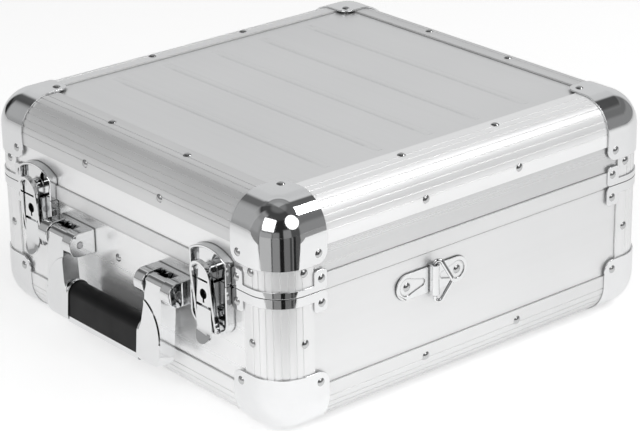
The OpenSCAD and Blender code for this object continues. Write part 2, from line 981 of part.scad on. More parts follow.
// The lever: a plate with two cheeks and a finger tab that leans out
module cheek_view() {
    translate([-lock_out + lever_t / 2, -lever_low])
        square([lock_out - lever_t / 2 - lever_pin_out, lever_low - lever_top]);
    translate([-lever_pin_out, -lever_low])
        square([lever_pin_out - cheek_back, lever_low - lever_pin_drop]);
    translate([-lever_pin_out, -lever_pin_drop]) circle(lever_pin_out - cheek_back);
    translate([-link_out, -link_drop]) circle(link_pad_r);
}

module latch_lever(sx) {
    cheek_in = lock_half - cheek_t;
    color("whitesmoke")
        on_latch(sx)
            difference() {
                union() {
                    between(lock_out - lever_t, lock_out)
                        translate([-lock_half, -lever_low])
                            square([2 * lock_half, lever_low - lever_top]);
                    for (s = mirror_sides)
                        side_view(s > 0 ? cheek_in : -lock_half, cheek_t) cheek_view();
                    translate([0, -lock_out + lever_t, -lever_low])
                        rotate([-tab_lean, 0, 0])
                            between(0, lever_t) {
                                translate([0, -tab_len + tab_half]) circle(tab_half);
                                translate([-tab_half, -tab_len + tab_half])
                                    square([2 * tab_half, tab_len - tab_half]);
                            }
                }
                cross_rod(0, lever_pin_out, -lever_pin_drop, lever_pin_r + pin_fit, 2 * latch_x);
                cross_rod(0, link_out, -link_drop, link_pin_r + pin_fit, 2 * latch_x);
            }
}

module latch_link_pin(sx) {
    color("white")
        on_latch(sx)
            cross_rod(0, link_out, -link_drop, link_pin_r, 2 * bail_half);
}

// The bail stands on its pin and leans out a little, just in front of the keeper's boss
module bail_front(grow) {
    r = bail_half - grow;
    translate([0, bail_len - bail_half]) circle(r);
    translate([-r, -link_pad_r]) square([2 * r, bail_len - bail_half + link_pad_r]);
}

module latch_bail(sx) {
    color("whitesmoke")
        on_latch(sx)
            translate([0, -link_out, -link_drop])
                rotate([bail_lean, 0, 0])
                    difference() {
                        intersection() {
                            between(-bail_deep / 2, bail_deep / 2)
                                difference() {
                                    bail_front(0);
                                    bail_front(bail_leg);
                                    translate([-bail_half + bail_leg, -link_pad_r - cut])
                                        square([2 * (bail_half - bail_leg), link_pad_r + cut]);
                                }
                            side_view(-bail_half, 2 * bail_half) {
                                circle(bail_deep / 2);
                                translate([-bail_deep / 2, 0]) square([bail_deep, bail_len]);
                            }
                        }
                        cross_rod(0, 0, 0, link_pin_r + pin_fit, 2 * latch_x);
                    }
}

// The keeper: an arched tray on the lid with a boss that the bail drops over
module keeper_area(inset) {
    half = tray_w / 2 - inset;
    arch_r = (tray_w * tray_w / 4 + arch_rise * arch_rise) / (2 * arch_rise);
    intersection() {
        translate([-half, split_gap / 2]) square([2 * half, keeper_h]);
        translate([0, keeper_h - arch_r]) circle(arch_r - inset);
    }
}

module boss_area(inset) {
    r = boss_half - inset;
    intersection() {
        union() {
            translate([0, boss_high - boss_half]) circle(r);
            translate([-r, boss_low]) square([2 * r, boss_high - boss_half - boss_low]);
        }
        translate([-r, boss_low]) square([2 * r, boss_high]);
    }
}

module keeper(sx) {
    color("whitesmoke")
        on_latch(sx) {
            between(0, plate_t) keeper_area(0);
            between(-ext_wall, plate_t / 2)
                intersection() {
                    keeper_area(0);
                    translate([-tray_w, rim_h + split_gap / 2 + slot_fit]) square([2 * tray_w, keeper_h]);
                }
            difference() {
                between(plate_t / 2, tray_out) keeper_area(0);
                between(plate_t / 4, tray_out + cut)
                    union() {
                        keeper_area(tray_wall);
                        translate([-tray_w / 2 + tray_wall, -cut])
                            square([tray_w - 2 * tray_wall, 2 * cut]);
                    }
            }
            between(plate_t / 2, lock_out - boss_lip) boss_area(boss_neck_in);
            between(lock_out - boss_lip, lock_out) boss_area(0);
        }
}

// Strap plates: drawn on the right side; the left ones mirror them
strap_y = -40;
strap_drop = 22;
strap_z = split_z - strap_drop;
drop_r = 7;
drop_tip_r = 3;
drop_run = 14;
drop_depth_share = 0.4;
drop_depth = strap_t * drop_depth_share;
barrel_out = barrel_r - ext_wall / 2;
ring_bends = [2.3, 2.3, 3.2, 3, 3.2];
ring_shoulder_share = 0.35;
ring_shoulder_drop = 0.4;
bend_overlap = 4;
bend_thinning = 0.04;

function strap_u(side) = side == 1 ? strap_y : -strap_y;

module on_strap() {
    on_side(1) translate([strap_y, 0, strap_z]) children();
}

module strap_outline() {
    for (s = mirror_sides)
        translate([s * strap_rivets / 2, 0]) circle(strap_end_r);
    translate([-strap_rivets / 2, -strap_end_r])
        square([strap_rivets, 2 * strap_end_r]);
}

// A drop-shaped hollow round each rivet, with its tip towards the barrel
module drop_area() {
    for (s = mirror_sides)
        translate([s * strap_rivets / 2, 0]) {
            circle(drop_r);
            translate([-s * drop_run, 0]) circle(drop_tip_r);
            polygon([[0, drop_r], [-s * drop_run, drop_tip_r], [-s * drop_run, -drop_tip_r], [0, -drop_r]]);
        }
}

module strap_plate_right() {
    color("whitesmoke")
        on_strap()
            difference() {
                union() {
                    between(-ext_wall, strap_t - ext_wall) strap_outline();
                    translate([0, -barrel_out, -barrel_h / 2]) cylinder(r = barrel_r, h = barrel_h);
                    translate([-barrel_r, -barrel_out, -barrel_h / 2])
                        cube([2 * barrel_r, barrel_out + ext_wall - strap_t / 2, barrel_h]);
                }
                translate([0, -barrel_out, -barrel_h])
                    cylinder(r = ring_wire_r + pin_fit, h = 2 * barrel_h);
                translate([-strap_rivets, ext_wall, -barrel_h])
                    cube([2 * strap_rivets, barrel_r, 2 * barrel_h]);
                between(strap_t - ext_wall - drop_depth, strap_t) drop_area();
            }
}

// A closed loop of round wire through points in a plane; the bends are drawn a little thinner and run into the legs
module wire_loop(pts, bends, r) {
    n = len(pts);
    function unit(v) = v / norm(v);
    function dir(i) = unit(pts[(i + 1) % n] - pts[i]);
    function turn(i) = acos(dir((i + n - 1) % n) * dir(i));
    function trim(i) = bends[i] * tan(turn(i) / 2);
    for (i = [0 : n - 1]) {
        d_in = dir((i + n - 1) % n);
        d_out = dir(i);
        start = pts[i] - trim(i) * d_in;
        centre = start + bends[i] * [-d_in[1], d_in[0]];
        translate(centre)
            rotate([0, 0, atan2(start[1] - centre[1], start[0] - centre[0]) - bend_overlap])
                rotate_extrude(angle = turn(i) + 2 * bend_overlap)
                    translate([bends[i], 0])
                        circle(r - bend_thinning, $fn = 32);
        from = pts[i] + trim(i) * d_out;
        run = norm(pts[(i + 1) % n] - pts[i]) - trim(i) - trim((i + 1) % n);
        translate(from)
            rotate([0, 0, atan2(d_out[1], d_out[0])])
                rotate([0, 90, 0])
                    cylinder(r = r, h = run, $fn = 32);
    }
}

ring_shoulder = [ring_deep * ring_shoulder_share, ring_h / 2 - ring_shoulder_drop];
ring_points = [[0, ring_h / 2], [0, -ring_h / 2], [ring_shoulder[0], -ring_shoulder[1]],
    [ring_deep, 0], ring_shoulder];

module strap_ring_right() {
    color("whitesmoke")
        on_strap()
            translate([0, -barrel_out, -ring_sag])
                rotate([0, 0, -ring_swing])
                    rotate([90, 0, 0])
                        wire_loop(ring_points, ring_bends, ring_wire_r);
}

// Hinges: surface leaves at the back with five knuckles; the base has the outer and middle ones
knuckle_count = 5;
knuckle_gap = 0.4;
base_leaf_h = 14;
lid_leaf_h = 11;
leaf_rivet_up = 4;
leaf_link_t = 2;
knuckle_len = (hinge_len - (knuckle_count - 1) * knuckle_gap) / knuckle_count;

module on_hinges() {
    for (sx = mirror_sides)
        on_side(2) translate([sx * hinge_x - hinge_len / 2, 0, split_z]) children();
}

// Knuckles with even or odd places, each with its link to the leaf; up is 1 on the lid and -1 on the base
module knuckles(first, up, leaf_y) {
    for (i = [first : 2 : knuckle_count - 1])
        translate([i * (knuckle_len + knuckle_gap), 0, 0]) {
            translate([0, -knuckle_out, 0])
                rotate([0, 90, 0])
                    cylinder(r = knuckle_r, h = knuckle_len);
            translate([0, -knuckle_out, up > 0 ? knuckle_r - leaf_link_t : -knuckle_r])
                cube([knuckle_len, knuckle_out + leaf_y, leaf_link_t]);
        }
}

module pin_hole() {
    translate([-cut, -knuckle_out, 0])
        rotate([0, 90, 0])
            cylinder(r = hinge_pin_r + pin_fit, h = hinge_len + 2 * cut);
}

module base_hinge_leaves() {
    color("whitesmoke")
        on_hinges()
            difference() {
                union() {
                    translate([0, ext_wall - leaf_t, -base_leaf_h])
                        cube([hinge_len, leaf_t, base_leaf_h - split_gap / 2]);
                    knuckles(0, -1, ext_wall - leaf_t / 2);
                }
                pin_hole();
            }
}

module lid_hinge_leaves() {
    color("whitesmoke")
        on_hinges()
            difference() {
                union() {
                    difference() {
                        translate([0, -leaf_t, split_gap / 2])
                            cube([hinge_len, leaf_t, lid_leaf_h - split_gap / 2]);
                        for (i = [0 : 2 : knuckle_count - 1])
                            translate([i * (knuckle_len + knuckle_gap) - knuckle_gap, -knuckle_out, 0])
                                rotate([0, 90, 0])
                                    cylinder(r = knuckle_r + knuckle_gap, h = knuckle_len + 2 * knuckle_gap);
                    }
                    knuckles(1, 1, -leaf_t / 2);
                }
                pin_hole();
            }
}

module hinge_pins() {
    color("white")
        on_hinges()
            translate([0, -knuckle_out, 0])
                rotate([0, 90, 0])
                    cylinder(r = hinge_pin_r, h = hinge_len);
}

// Inside: foam on every wall and a divider between the two rows
floor_foam_low = bottom_z + foam_in;
floor_foam_top = floor_foam_low + foam_t;
lid_foam_top = top_z - foam_in;
lid_foam_low = lid_foam_top - foam_t;
inner_x = case_w / 2 - foam_in - foam_side_t;
inner_y = case_d / 2 - foam_in - foam_end_t;
foam_corner_in = ext_r - sqrt(pow(ext_r - ext_wall, 2) - pow(ext_r - foam_in, 2)) + 2 * soft_gap;

module foam_slab(half_x, half_y, low, high) {
    translate([-half_x, mid_y - half_y, low]) cube([2 * half_x, 2 * half_y, high - low]);
}

module base_floor_foam() {
    color("darkslategray")
        foam_slab(inner_x - soft_gap, inner_y - soft_gap, floor_foam_low, floor_foam_top);
}

// Four slabs that stand from z = 0, the case's outer plane, up to a height. Each one is two blocks, one that
// goes down to the floor and one that runs into the rounded corners.
module foam_walls(height) {
    blocks = [
        [foam_corner_in, case_w / 2 - ext_r, case_d / 2 - ext_r],
        [ext_r, case_w / 2 - foam_corner_in, inner_y - soft_gap]
    ];
    for (s = mirror_sides)
        for (b = blocks) {
            translate([-b[1], mid_y + (s > 0 ? inner_y : -inner_y - foam_end_t), b[0]])
                cube([2 * b[1], foam_end_t, height - b[0]]);
            translate([s > 0 ? inner_x : -inner_x - foam_side_t, mid_y - b[2], b[0]])
                cube([foam_side_t, 2 * b[2], height - b[0]]);
        }
}

module base_wall_foam() {
    color("darkslategray")
        translate([0, 0, bottom_z])
            foam_walls(base_top - bottom_z);
}

module lid_foam() {
    color("darkslategray") {
        translate([0, 0, top_z])
            mirror([0, 0, 1])
                foam_walls(top_z - lid_low);
        foam_slab(inner_x - soft_gap, inner_y - soft_gap, lid_foam_low, lid_foam_top);
    }
}

module row_divider() {
    half = inner_y - soft_gap;
    color("darkslategray")
        translate([-divider_t / 2, mid_y - half, floor_foam_top])
            cube([divider_t, 2 * half, divider_h]);
}

base_floor_panel();
base_panel(0);  // base_front_panel
base_panel(1);  // base_right_panel
base_panel(2);  // base_back_panel
base_panel(3);  // base_left_panel
base_edge(0);  // base_edge_front
base_edge(1);  // base_edge_right
base_edge(2);  // base_edge_back
base_edge(3);  // base_edge_left
base_corner_posts();
base_rim();
base_corner_inserts();
base_ball_corners();
base_rim_brackets();
base_rivets();
lid_top_panel();
lid_strip(0);  // lid_front_strip
lid_strip(1);  // lid_right_strip
lid_strip(2);  // lid_back_strip
lid_strip(3);  // lid_left_strip
lid_edge(0);  // lid_edge_front
lid_edge(1);  // lid_edge_right
lid_edge(2);  // lid_edge_back
lid_edge(3);  // lid_edge_left
lid_corner_posts();
lid_rim();
lid_corner_inserts();
lid_ball_corners();
lid_rim_brackets();
lid_rivets();
handle_mount(-1);  // handle_mount_left
handle_mount(1);  // handle_mount_right
handle_frame();
handle_grip();
handle_pins();
handle_springs();
latch_body(-1);  // latch_body_left
latch_body(1);  // latch_body_right
latch_lever(-1);  // latch_lever_left
latch_lever(1);  // latch_lever_right
latch_link_pin(-1);  // latch_link_pin_left
latch_link_pin(1);  // latch_link_pin_right
latch_bail(-1);  // latch_bail_left
latch_bail(1);  // latch_bail_right
lock_barrel(-1);  // lock_barrel_left
lock_barrel(1);  // lock_barrel_right
latch_lever_pins();
keeper(-1);  // keeper_left
keeper(1);  // keeper_right
mirror([1, 0, 0]) strap_plate_right();  // strap_plate_left
strap_plate_right();
mirror([1, 0, 0]) strap_ring_right();  // strap_ring_left
strap_ring_right();
base_hinge_leaves();
lid_hinge_leaves();
hinge_pins();
base_floor_foam();
base_wall_foam();
lid_foam();
row_divider();
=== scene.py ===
# %% [markdown]
# A flight case for CDs
#
# The case is a light box held together by ribbed aluminium edge profiles, with chromed ball corners, two
# keyed draw latches, a drop handle, a strap ring on each side and a hinged lid. Its solids come from the CAD
# step and are not changed here. This file gives them what a photograph shows and a plain solid does not:
# small rounded edges that catch the light, real metal, plastic, rubber and foam, and a photo studio.

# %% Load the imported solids
import bpy
import json
import math
from mathutils import Matrix, Quaternion, Vector

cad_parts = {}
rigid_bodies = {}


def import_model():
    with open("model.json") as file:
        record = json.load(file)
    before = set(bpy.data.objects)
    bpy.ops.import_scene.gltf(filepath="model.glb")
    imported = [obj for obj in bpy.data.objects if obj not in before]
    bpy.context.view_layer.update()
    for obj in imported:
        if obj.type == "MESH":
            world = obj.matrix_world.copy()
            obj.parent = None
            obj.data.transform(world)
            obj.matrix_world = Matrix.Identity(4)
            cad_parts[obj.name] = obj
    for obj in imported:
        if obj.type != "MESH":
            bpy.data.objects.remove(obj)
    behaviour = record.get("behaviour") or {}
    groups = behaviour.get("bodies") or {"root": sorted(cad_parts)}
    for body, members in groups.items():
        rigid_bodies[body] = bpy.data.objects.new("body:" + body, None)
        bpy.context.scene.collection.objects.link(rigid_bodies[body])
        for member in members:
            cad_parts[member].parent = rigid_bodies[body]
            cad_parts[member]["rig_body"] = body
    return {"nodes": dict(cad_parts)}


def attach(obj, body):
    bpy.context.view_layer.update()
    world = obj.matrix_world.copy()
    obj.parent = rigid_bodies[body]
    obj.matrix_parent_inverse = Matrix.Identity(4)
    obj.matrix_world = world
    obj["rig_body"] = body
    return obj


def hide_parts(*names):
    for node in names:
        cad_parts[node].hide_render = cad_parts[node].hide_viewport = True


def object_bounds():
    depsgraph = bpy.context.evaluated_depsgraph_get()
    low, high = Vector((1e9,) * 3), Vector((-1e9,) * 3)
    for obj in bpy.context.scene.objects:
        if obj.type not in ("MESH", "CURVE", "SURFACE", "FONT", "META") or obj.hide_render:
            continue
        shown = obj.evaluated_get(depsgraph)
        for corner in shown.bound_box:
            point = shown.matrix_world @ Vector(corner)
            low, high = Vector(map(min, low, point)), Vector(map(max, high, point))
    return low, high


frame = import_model()
cad_box = [list(corner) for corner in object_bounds()]

# %% [markdown]
# Small helpers
#
# A modelling operator works on everything that is selected, so each step starts by selecting exactly what it
# needs. Lengths in this file are easier to read in millimetres, while Blender works in metres.

# %% Selection and units
MM = 0.001


def select_only(*objects):
    if bpy.context.object and bpy.context.object.mode != "OBJECT":
        bpy.ops.object.mode_set(mode="OBJECT")
    bpy.ops.object.select_all(action="DESELECT")
    for o in objects:
        o.select_set(True)
    bpy.context.view_layer.objects.active = objects[0]


def apply_modifier(piece, name):
    select_only(piece)
    bpy.ops.object.modifier_apply(modifier=name)


low, high = [Vector(corner) for corner in cad_box]
print("overall size in mm:", [round(v / MM) for v in high - low])

# %% [markdown]
# The camera
#
# The photograph is taken from above the front right corner with a long lens, which keeps the far edges nearly
# as large as the near ones. The place and the three directions of the camera were solved from the straight
# edges of the case, so they are written down as numbers and not found by eye.

# %% Camera
camera_data = bpy.data.cameras.new("camera")
camera_data.sensor_fit = "HORIZONTAL"
camera_data.sensor_width = 36
camera_data.lens = 137.0
camera_data.clip_start = 0.05
camera_data.clip_end = 60
camera = bpy.data.objects.new("camera", camera_data)
bpy.context.scene.collection.objects.link(camera)
camera_right = Vector((0.64322, 0.76551, -0.01595))
camera_up = Vector((-0.28244, 0.25658, 0.92433))
camera_back = Vector((0.71168, -0.59004, 0.38125))
camera_place = Vector((1.3554, -1.1134, 0.7971))
camera.matrix_world = Matrix((
    (camera_right.x, camera_up.x, camera_back.x, camera_place.x),
    (camera_right.y, camera_up.y, camera_back.y, camera_place.y),
    (camera_right.z, camera_up.z, camera_back.z, camera_place.z),
    (0, 0, 0, 1),
))
bpy.context.scene.camera = camera
print("lens:", camera_data.lens, "mm")

# %% [markdown]
# The studio
#
# Chrome has no colour of its own: it shows the room. So the room is written down the way a ball corner shows
# it, as slices of the horizon that each reach from one height to another: a pale wall behind the case, grey
# walls on the left, a dark ceiling, and low grey and dark boards on the camera's side. Each slice starts and
# ends softly. The sky of a Blender world is a direction, so a slice is found by its angles.

# %% Directions of the world
world = bpy.data.worlds.new("studio")
bpy.context.scene.world = world
world.use_nodes = True
wn, wl = world.node_tree.nodes, world.node_tree.links
wn.clear()


def feed(socket, value):
    if isinstance(value, (int, float)):
        socket.default_value = value
    else:
        wl.new(value, socket)


def world_math(operation, a, b=None):
    node = wn.new("ShaderNodeMath")
    node.operation = operation
    feed(node.inputs[0], a)
    if b is not None:
        feed(node.inputs[1], b)
    return node.outputs[0]


def world_step(value, start, end):
    """Rises smoothly from 0 at the start to 1 at the end."""
    node = wn.new("ShaderNodeMapRange")
    node.interpolation_type = "SMOOTHSTEP"
    feed(node.inputs["Value"], value)
    node.inputs["From Min"].default_value = start
    node.inputs["From Max"].default_value = end
    return node.outputs["Result"]


sky = wn.new("ShaderNodeSeparateXYZ")
wl.new(wn.new("ShaderNodeTexCoord").outputs["Generated"], sky.inputs[0])
east, north, height = sky.outputs
flat_squared = world_math("ADD", world_math("MULTIPLY", east, east), world_math("MULTIPLY", north, north))
flat_length = world_math("MAXIMUM", world_math("SQRT", flat_squared), 0.001)
across = world_math("DIVIDE", east, flat_length)
along = world_math("DIVIDE", north, flat_length)
print("world direction nodes:", len(wn))

# %% [markdown]
# A slice is the product of two soft steps. One compares the angle round the horizon with the slice's middle,
# and the other the height above the horizon with its lower and upper end. All angles are in degrees; round
# the horizon 0 is the case's right side, 90 its back, 180 its left side and -90 its front.

# %% Slices of the room
NADIR, ZENITH = -90, 90


def between_angles(start, end, blur):
    middle, half = math.radians((start + end) / 2), (end - start) / 2
    cosine = world_math("ADD", world_math("MULTIPLY", across, math.cos(middle)),
                        world_math("MULTIPLY", along, math.sin(middle)))
    outside, inside = math.radians(half + blur / 2), math.radians(half - blur / 2)
    return world_step(cosine, math.cos(outside), math.cos(inside))


def above(elevation, blur):
    start, end = math.radians(elevation - blur / 2), math.radians(elevation + blur / 2)
    return world_step(height, math.sin(start), math.sin(end))


def between_heights(bottom, top, blur):
    start = above(bottom, blur) if bottom > NADIR else 1.0
    return world_math("SUBTRACT", start, above(top, blur)) if top < ZENITH else start


room_slices = [
    # what it is, its light, its angles and their blur, its heights and their blur
    ("wall behind, lower half", 0.12, (101, 176, 10), (NADIR, 37, 12)),
    ("wall behind", 0.54, (101, 176, 10), (NADIR, 57, 5)),
    ("top of the wall behind", 0.20, (95, 185, 14), (59, ZENITH, 5)),
    ("ceiling", 0.04, None, (50, ZENITH, 8)),
    ("ceiling behind", 0.06, (18, 202, 10), (38, ZENITH, 8)),
    ("ceiling overhead", 0.09, None, (73, ZENITH, 10)),
    ("gap at the left", 0.06, (176, 200, 6), (20, 56, 8)),
    ("wall at the left", 0.32, (-160, -130, 10), (NADIR, 45, 10)),
    ("wall in front on the left", 0.24, (-130, -95, 8), (NADIR, 58, 10)),
    ("light on both left walls", 0.08, (-156, -102, 10), (6, 37, 10)),
    ("pale board in front", 0.34, (-95, -60, 3), (NADIR, 14, 5)),
    ("grey board in front", 0.20, (-58, -39, 3), (NADIR, 16, 6)),
    ("grey board beside the camera", 0.23, (-27, -5, 3), (NADIR, 22, 6)),
    ("dark board at the right", 0.06, (-5, 18, 3), (NADIR, 20, 6)),
    ("wall at the right", 0.15, (20, 101, 6), (NADIR, 40, 6)),
    ("foot of the wall at the right", 0.10, (22, 96, 8), (NADIR, 22, 8)),
]
room_light = 0.02
for what, light, angles, heights in room_slices:
    share = world_math("MULTIPLY", light, between_angles(*angles)) if angles else light
    room_light = world_math("ADD", room_light, world_math("MULTIPLY", share, between_heights(*heights)))
print(len(room_slices), "slices, from the", room_slices[0][0], "to the", room_slices[-1][0])

# %% [markdown]
# Only reflections see the room. The camera sees plain white behind the case, and a plain surface is lit by an
# even light from everywhere, so that the room's dark side doesn't make one side of the case dull.

# %% Who sees which world
rays = wn.new("ShaderNodeLightPath")


def background(strength, color=(1, 1, 1, 1)):
    light = wn.new("ShaderNodeBackground")
    light.inputs["Color"].default_value = color
    feed(light.inputs["Strength"], strength)
    return light.outputs[0]


def choose(ray, otherwise, when_so):
    mix = wn.new("ShaderNodeMixShader")
    wl.new(rays.outputs[ray], mix.inputs[0])
    wl.new(otherwise, mix.inputs[1])
    wl.new(when_so, mix.inputs[2])
    return mix.outputs[0]


even_light = background(0.46)
lit = choose("Is Glossy Ray", even_light, background(room_light, (0.99, 0.995, 1, 1)))
seen = choose("Is Camera Ray", lit, background(1.0))
wl.new(seen, wn.new("ShaderNodeOutputWorld").inputs[0])
print("world nodes:", len(wn))

# %% [markdown]
# The softboxes are area lamps that face the case from the directions in which the near ball corner shows
# them: a square one to the left of the camera, a round one to its right and a long one over the right side.
# Each is far enough away to light the whole case evenly. The fourth lamp fills the front, and as the chrome
# shows no fourth lamp, reflections don't see it.

# %% Softboxes
case_middle = Vector((0, 0.009, 0.09))


def softbox(name, azimuth, elevation, distance, size, power, shape="RECTANGLE", roll=0):
    lamp = bpy.data.lights.new(name, "AREA")
    lamp.shape = shape
    lamp.size, lamp.size_y = size
    lamp.energy = power
    o = bpy.data.objects.new(name, lamp)
    bpy.context.scene.collection.objects.link(o)
    a, e = math.radians(azimuth), math.radians(elevation)
    towards = Vector((math.cos(a) * math.cos(e), math.sin(a) * math.cos(e), math.sin(e)))
    o.location = case_middle + distance * towards
    turn = towards.to_track_quat("Z", "Y") @ Quaternion((0, 0, 1), math.radians(roll))
    o.rotation_euler = turn.to_euler()
    return o


softbox("square_softbox", -71, 33, 2.2, (1.28, 1.22), 10)
softbox("round_softbox", 3, 37, 2.2, (1.45, 1.45), 9, shape="DISK")
softbox("long_softbox", 51.8, 48.5, 2.42, (0.86, 0.40), 9, roll=33)
fill = softbox("fill_light", -41, 24, 2.6, (1.8, 1.8), 17)
fill.visible_glossy = False

# %% [markdown]
# The table is plain and pale and keeps the case's soft shadow. Part of its brightness is its own glow, which
# only the camera and reflections see, so that it reads as white paper without flooding the case with light.
# The glow that reflections see is strongest close to the near corner and fades away from it.

# %% Table
def stage_plane(name, corners):
    """A flat piece of the studio, which is no part of the case."""
    mesh = bpy.data.meshes.new(name)
    mesh.from_pydata([tuple(c) for c in corners], [], [tuple(range(len(corners)))])
    o = bpy.data.objects.new(name, mesh)
    bpy.context.scene.collection.objects.link(o)
    return o


table_reach, table_top = 8, -0.3 * MM
table = stage_plane("table", [(x * table_reach, y * table_reach, table_top)
                              for x, y in ((-1, -1), (1, -1), (1, 1), (-1, 1))])
near_corner = Vector((0.148, -0.149, 0.0004))
paper = bpy.data.materials.new("white_paper")
paper.use_nodes = True
pn, pl = paper.node_tree.nodes, paper.node_tree.links
paper_look = pn["Principled BSDF"]
paper_look.inputs["Base Color"].default_value = (0.80, 0.80, 0.80, 1)
paper_look.inputs["Roughness"].default_value = 0.9
paper_look.inputs["Specular IOR Level"].default_value = 0.1
reach = pn.new("ShaderNodeVectorMath")
reach.operation = "DISTANCE"
pl.new(pn.new("ShaderNodeTexCoord").outputs["Object"], reach.inputs[0])
reach.inputs[1].default_value = near_corner
fade = pn.new("ShaderNodeMapRange")
pl.new(reach.outputs["Value"], fade.inputs["Value"])
for socket, value in (("From Min", 0.05), ("From Max", 0.60), ("To Min", 0.34), ("To Max", 0.16)):
    fade.inputs[socket].default_value = value
print("table corners:", len(table.data.vertices))

# %% [markdown]
# The paper's glow is added up from two questions to the Light Path node: how bright the paper glows for the
# camera, and how bright it glows for a reflection.

# %% Glow of the paper
camera_glow = 0.40
paper_rays = pn.new("ShaderNodeLightPath")
reflected = pn.new("ShaderNodeMath")
reflected.operation = "MULTIPLY"
pl.new(paper_rays.outputs["Is Glossy Ray"], reflected.inputs[0])
pl.new(fade.outputs["Result"], reflected.inputs[1])
both = pn.new("ShaderNodeMath")
both.operation = "MULTIPLY_ADD"
pl.new(paper_rays.outputs["Is Camera Ray"], both.inputs[0])
both.inputs[1].default_value = camera_glow
pl.new(reflected.outputs[0], both.inputs[2])
glow = pn.new("ShaderNodeEmission")
glow.inputs["Color"].default_value = (1, 1, 1, 1)
pl.new(both.outputs[0], glow.inputs["Strength"])
paper_sum = pn.new("ShaderNodeAddShader")
pl.new(paper_look.outputs[0], paper_sum.inputs[0])
pl.new(glow.outputs[0], paper_sum.inputs[1])
pl.new(paper_sum.outputs[0], pn["Material Output"].inputs["Surface"])
table.data.materials.append(paper)
print("paper nodes:", len(pn))

# %% [markdown]
# A real table ends in front of the case, and beyond its edge the chrome shows the grey and dark boards of the
# studio, as upright stripes in the corner's round face. Those stripes are what makes polished metal look
# polished. They are laid down as flat slices beyond a straight table edge, in a fan round the near corner,
# and only reflections see them. Each slice is a narrow fan of short steps, so that its inner end stays on
# the straight edge.

# %% Slices beyond the table's edge
edge_distance, fan_reach, fan_steps = 0.19, 8.0, 8
edge_azimuth = math.radians(-39.7)
table_slices = [
    # name, from azimuth, to azimuth, brightness
    ("far_left_slice", -124, -98, 0.25), ("left_line", -98, -95, 0.18), ("pale_slice", -95, -61.5, 0.50),
    ("black_line", -61.5, -58.5, 0.05), ("grey_slice", -58.5, -38.5, 0.26),
    ("black_slice", -38.5, -27, 0.012), ("mid_slice", -27, -11, 0.17),
    ("thin_line", -11, -5, 0.06), ("mid_line", -5, -1, 0.17),
    ("dark_slice", -1, 6, 0.02), ("dusky_slice", 6, 20, 0.09), ("right_slice", 20, 46, 0.33),
]
for name, start, end, brightness in table_slices:
    steps = [math.radians(start + (end - start) * k / fan_steps) for k in range(fan_steps + 1)]
    fan = [(a, edge_distance / math.cos(a - edge_azimuth)) for a in steps]
    fan += [(a, fan_reach) for a in reversed(steps)]
    card = stage_plane(name, [near_corner + Vector((r * math.cos(a), r * math.sin(a), 0)) for a, r in fan])
    tone = bpy.data.materials.new(name)
    tone.use_nodes = True
    tn, tl = tone.node_tree.nodes, tone.node_tree.links
    tn.clear()
    shine = tn.new("ShaderNodeEmission")
    shine.inputs["Strength"].default_value = brightness
    tl.new(shine.outputs[0], tn.new("ShaderNodeOutputMaterial").inputs["Surface"])
    card.data.materials.append(tone)
    card.visible_camera = card.visible_diffuse = card.visible_shadow = False
    card.visible_transmission = card.visible_volume_scatter = False
print("slices beyond the table's edge:", len(table_slices))

# %% [markdown]
# Materials
#
# Every finish is a small node tree on the Principled shader. The patterns read Object coordinates: a piece
# keeps its place in its mesh, so a scratch or a grain line stays on the metal when the lid opens. A stretched
# noise makes drawn lines, because metal that is pushed through a die is lined along its length.

# %% Finishes and patterns
NOISE_LOW, NOISE_HIGH = 0.3, 0.7


def new_finish(name, color, metallic, roughness, **settings):
    m = bpy.data.materials.new(name)
    m.use_nodes = True
    shader = m.node_tree.nodes["Principled BSDF"]
    shader.inputs["Base Color"].default_value = (*color, 1)
    shader.inputs["Metallic"].default_value = metallic
    shader.inputs["Roughness"].default_value = roughness
    for socket, value in settings.items():
        shader.inputs[socket.replace("_", " ")].default_value = value
    return m


def pattern(m, scale, stretch=(1, 1, 1), detail=3, rough=0.5):
    n, l = m.node_tree.nodes, m.node_tree.links
    turn = n.new("ShaderNodeMapping")
    turn.inputs["Scale"].default_value = stretch
    l.new(n.new("ShaderNodeTexCoord").outputs["Object"], turn.inputs["Vector"])
    noise = n.new("ShaderNodeTexNoise")
    noise.inputs["Scale"].default_value = scale
    noise.inputs["Detail"].default_value = detail
    noise.inputs["Roughness"].default_value = rough
    l.new(turn.outputs["Vector"], noise.inputs["Vector"])
    return noise.outputs["Fac"]


def between_values(m, value, low_value, high_value, from_low=NOISE_LOW, from_high=NOISE_HIGH):
    ranged = m.node_tree.nodes.new("ShaderNodeMapRange")
    m.node_tree.links.new(value, ranged.inputs["Value"])
    ranged.inputs["From Min"].default_value = from_low
    ranged.inputs["From Max"].default_value = from_high
    ranged.inputs["To Min"].default_value = low_value
    ranged.inputs["To Max"].default_value = high_value
    return ranged.outputs["Result"]


print("a noise mostly stays between", NOISE_LOW, "and", NOISE_HIGH)

# %% [markdown]
# A pattern does three jobs: it varies the colour a little, it makes the surface duller in places, and it
# raises the surface. Each relief is stacked on the one before, so fine grain can lie on slow waves.

# %% Colour, dullness and relief
def vary_color(m, value, dark, light):
    n, l = m.node_tree.nodes, m.node_tree.links
    ramp = n.new("ShaderNodeValToRGB")
    ramp.color_ramp.elements[0].position = 0.35
    ramp.color_ramp.elements[0].color = (*dark, 1)
    ramp.color_ramp.elements[1].position = 0.65
    ramp.color_ramp.elements[1].color = (*light, 1)
    l.new(value, ramp.inputs["Fac"])
    l.new(ramp.outputs["Color"], n["Principled BSDF"].inputs["Base Color"])


def vary_roughness(m, value, smooth, dull):
    shader = m.node_tree.nodes["Principled BSDF"]
    m.node_tree.links.new(between_values(m, value, smooth, dull), shader.inputs["Roughness"])


